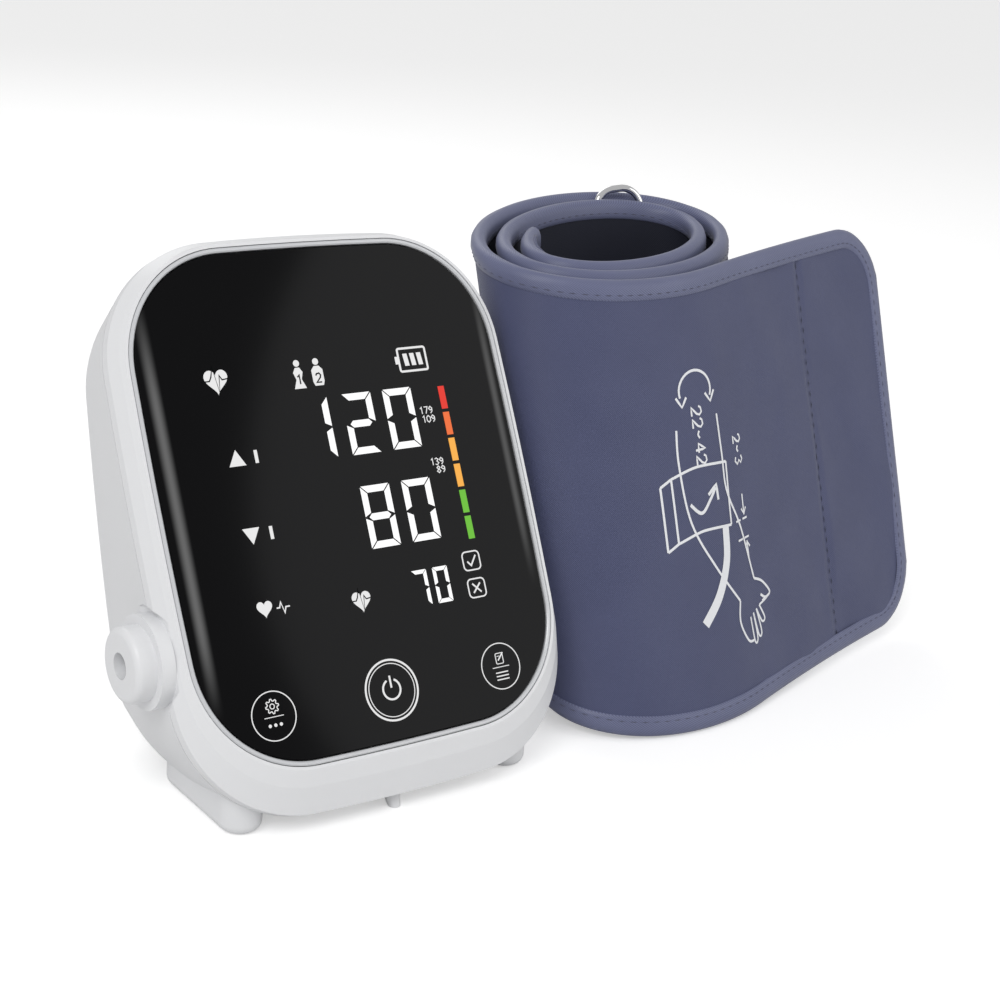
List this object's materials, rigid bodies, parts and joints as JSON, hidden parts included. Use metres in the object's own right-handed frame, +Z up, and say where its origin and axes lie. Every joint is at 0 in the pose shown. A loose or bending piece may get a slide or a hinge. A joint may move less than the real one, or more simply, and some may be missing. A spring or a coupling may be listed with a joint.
{
  "type": "upper arm blood pressure monitor",
  "caption": "Tilted white monitor with a black touch panel and an air port, standing beside its rolled navy arm cuff with end flap and metal ring.",
  "frame": {"origin": "contact face of the small centre foot under the monitor's front edge, on the table", "axes": "+Z up, the front face looks towards -Y and reclines, the cuff stands on the +X side"},
  "size_m": [0.2794, 0.1056, 0.134],
  "materials": {
    "binding": "satin grey navy binding tape",
    "bladder": "thin inflatable sheet",
    "board": "green circuit board",
    "cell": "plain wrapped cell",
    "component": "black component case",
    "display": "dark display block",
    "foam": "black foam and soft seal",
    "grey_plastic": "grey inner plastic",
    "hook": "hook and loop tape",
    "housing": "fine satin white shell plastic",
    "navy_cloth": "slate navy nylon twill",
    "navy_lining": "very dark navy lining",
    "panel": "glossy black printed touch panel",
    "ring": "bright plated wire",
    "rubber_foot": "dark grey rubber",
    "spring": "bright spring steel",
    "steel": "plain steel",
    "trim": "bright light grey trim ring",
    "tube": "translucent grey silicone tube"
  },
  "bodies": {
    "monitor": {"air_manifold": "grey_plastic", "air_port": "housing", "battery_1": "cell", "battery_2": "cell", "battery_3": "cell", "battery_4": "cell", "battery_contacts": "spring", "board_screw_1": "steel", "board_screw_2": "steel", "board_screw_3": "steel", "board_screw_4": "steel", "buzzer": "component", "display_module": "display", "front_bezel": "housing", "housing_screw_1": "steel", "housing_screw_2": "steel", "housing_screw_3": "steel", "housing_screw_4": "steel", "key_pad_1": "foam", "key_pad_2": "foam", "key_pad_3": "foam", "main_board": "board", "panel_gasket": "foam", "panel_trim": "trim", "port_seal": "foam", "port_tube": "tube", "pressure_sensor": "component", "pump_cradle": "rubber_foot", "pump_head": "grey_plastic", "pump_motor": "steel", "pump_tube": "tube", "rear_foot_1": "rubber_foot", "rear_foot_2": "rubber_foot", "rear_housing": "housing", "sensor_tube": "tube", "touch_panel": "panel", "valve_body": "grey_plastic", "valve_spring": "spring", "valve_tube": "tube"},
    "battery_lid": {"battery_door": "housing"},
    "rotor": {"pump_rotor": "steel"},
    "plunger": {"valve_plunger": "steel"},
    "cuff": {"cuff_bladder": "bladder", "cuff_d_ring": "ring", "cuff_edge_binding": "binding", "cuff_hook_patch": "hook", "cuff_lining": "navy_lining", "cuff_loop_patch": "hook", "cuff_outer_fabric": "navy_cloth", "d_ring_loop": "navy_cloth"}
  },
  "joints": [
    {"name": "battery_door_hinge", "type": "hinge", "parent": "monitor", "child": "battery_lid", "pos_m": [0, 0.06801, 0.02395], "axis": [-1, 0, 0], "range_deg": [0, 90]},
    {"name": "pump_spin", "type": "hinge", "parent": "monitor", "child": "rotor", "pos_m": [0, 0.038, 0.024], "axis": [1, 0, 0], "continuous": true},
    {"name": "valve_slide", "type": "slide", "parent": "monitor", "child": "plunger", "axis": [0, 0, -1], "range_m": [0, 0.0012], "stiffness_N_per_m": 150, "deforming": ["valve_spring"]},
    {"name": "cuff_lift", "type": "slide", "parent": "monitor", "child": "cuff", "axis": [0, 0, 1], "range_m": [0, 0.15]}
  ]
}
